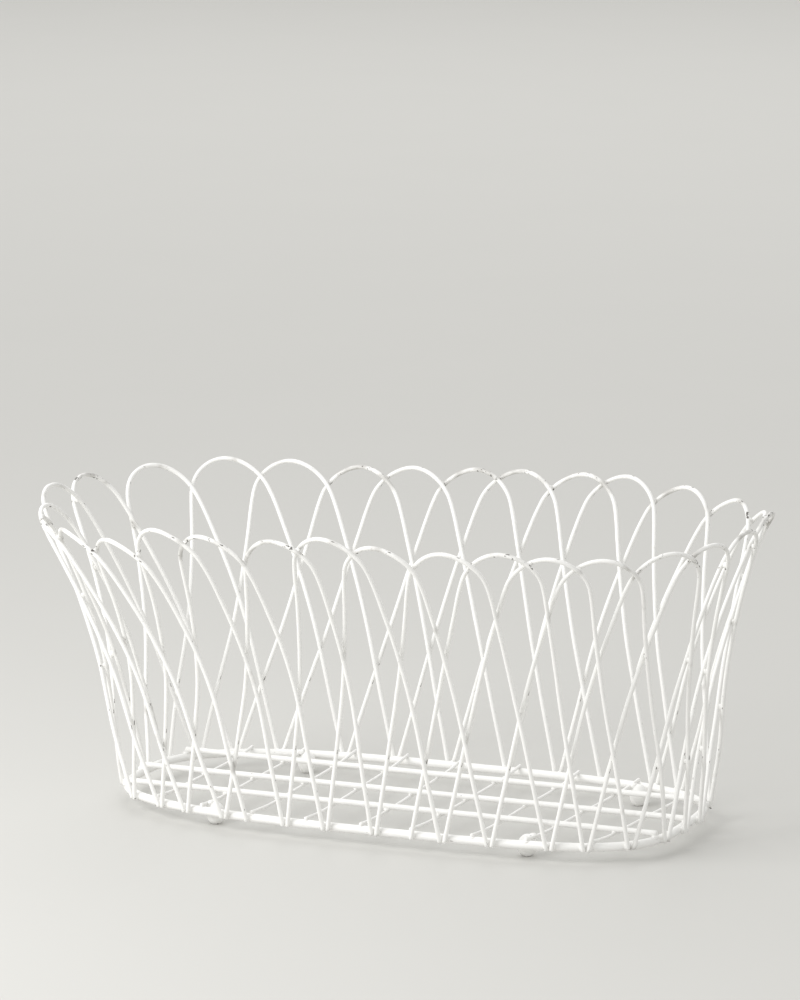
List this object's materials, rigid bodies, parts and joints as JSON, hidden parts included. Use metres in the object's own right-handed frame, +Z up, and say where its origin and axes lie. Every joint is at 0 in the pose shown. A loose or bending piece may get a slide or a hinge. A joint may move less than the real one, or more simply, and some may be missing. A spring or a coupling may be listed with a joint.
{
  "type": "oval wire basket",
  "caption": "Flared oval basket of overlapping wire hoops on a base ring with a wire grid floor and ball feet, for carrying or storing light things.",
  "frame": {"origin": "on the surface that the basket stands on, under the middle of its bounding box", "axes": "+X along the basket towards the end that leans out less, +Y from its front to its back, +Z up"},
  "size_m": [0.4422, 0.2644, 0.1913],
  "materials": {
    "hoop_paint": "hand-brushed satin white paint on steel wire, chipped to dark metal at the tops and where wires cross",
    "ring_paint": "thick satin white paint on a heavy steel wire ring",
    "floor_paint": "satin white paint on steel wire, with small blobs where wires are welded",
    "foot_paint": "satin white paint on a small steel ball"
  },
  "bodies": {
    "root": {"base_ring": "ring_paint", "long_wire_1": "floor_paint", "long_wire_2": "floor_paint", "long_wire_3": "floor_paint", "cross_wire_1": "floor_paint", "cross_wire_2": "floor_paint", "cross_wire_3": "floor_paint", "cross_wire_4": "floor_paint", "cross_wire_5": "floor_paint", "cross_wire_6": "floor_paint", "cross_wire_7": "floor_paint", "cross_wire_8": "floor_paint", "cross_wire_9": "floor_paint", "ball_foot_front_left": "foot_paint", "ball_foot_back_left": "foot_paint", "ball_foot_front_right": "foot_paint", "ball_foot_back_right": "foot_paint", "hoop_01": "hoop_paint", "hoop_02": "hoop_paint", "hoop_03": "hoop_paint", "hoop_04": "hoop_paint", "hoop_05": "hoop_paint", "hoop_06": "hoop_paint", "hoop_07": "hoop_paint", "hoop_08": "hoop_paint", "hoop_09": "hoop_paint", "hoop_10": "hoop_paint", "hoop_11": "hoop_paint", "hoop_12": "hoop_paint", "hoop_13": "hoop_paint", "hoop_14": "hoop_paint", "hoop_15": "hoop_paint", "hoop_16": "hoop_paint", "hoop_17": "hoop_paint", "hoop_18": "hoop_paint", "hoop_19": "hoop_paint", "hoop_20": "hoop_paint", "hoop_21": "hoop_paint", "hoop_22": "hoop_paint", "hoop_23": "hoop_paint", "hoop_24": "hoop_paint", "hoop_25": "hoop_paint", "hoop_26": "hoop_paint", "hoop_27": "hoop_paint", "hoop_28": "hoop_paint", "hoop_29": "hoop_paint", "hoop_30": "hoop_paint", "hoop_31": "hoop_paint"}
  },
  "joints": []
}
